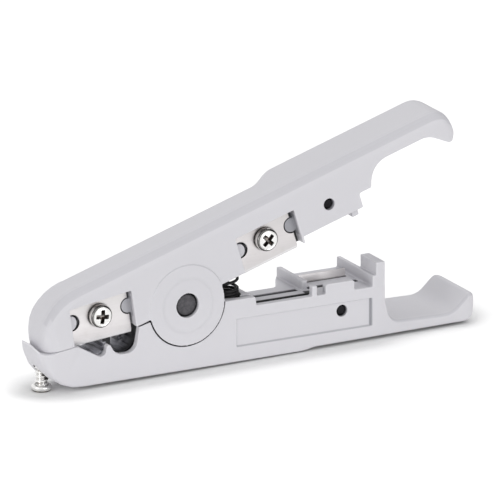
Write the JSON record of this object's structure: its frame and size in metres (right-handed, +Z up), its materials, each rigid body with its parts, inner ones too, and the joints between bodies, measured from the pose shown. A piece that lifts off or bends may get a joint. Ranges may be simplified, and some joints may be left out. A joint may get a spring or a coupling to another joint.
{
  "type": "cable stripper",
  "caption": "Hand-held cable stripper and cutter: two sprung plastic arms on a pivot pin, with screwed blades, cable notches, strip fences and an adjusting screw.",
  "frame": {"origin": "on the flat face under the lower arm, straight below the pivot pin, half way through the core's thickness", "axes": "+X from the nose to the handles, +Y from the side with the blade screws to the other side, +Z up from the face that the tool stands on"},
  "size_m": [0.1315, 0.0208, 0.061],
  "materials": {
    "plastic": "moulded light cool grey plastic, fine satin grain",
    "blade_steel": "ground blade steel",
    "nickel": "bright nickel plate",
    "dark_pin": "dark oxide steel",
    "spring_black": "black spring wire"
  },
  "bodies": {
    "lower_body": {"lower_arm": "plastic", "pivot_pin": "dark_pin", "return_spring": "spring_black", "lower_strip_blade": "blade_steel", "lower_blade_pin": "dark_pin"},
    "upper_body": {"upper_arm": "plastic", "front_blade": "blade_steel", "front_blade_screw": "nickel", "rear_blade": "blade_steel", "rear_blade_screw": "nickel", "upper_strip_blade": "blade_steel", "upper_blade_pin": "dark_pin"},
    "adjuster": {"adjusting_screw": "nickel"}
  },
  "joints": [
    {"name": "handle_hinge", "type": "hinge", "parent": "lower_body", "child": "upper_body", "pos_m": [0, 0, 0.018], "axis": [0, 1, 0], "range_deg": [0, 19], "stiffness_Nm_per_rad": 1.2, "springref_deg": -22.92, "deforming": ["return_spring"]},
    {"name": "adjuster_turn", "type": "hinge", "parent": "lower_body", "child": "adjuster", "pos_m": [-0.0401, 0, 0], "axis": [0, 0, 1], "range_deg": [-720, 720]}
  ]
}
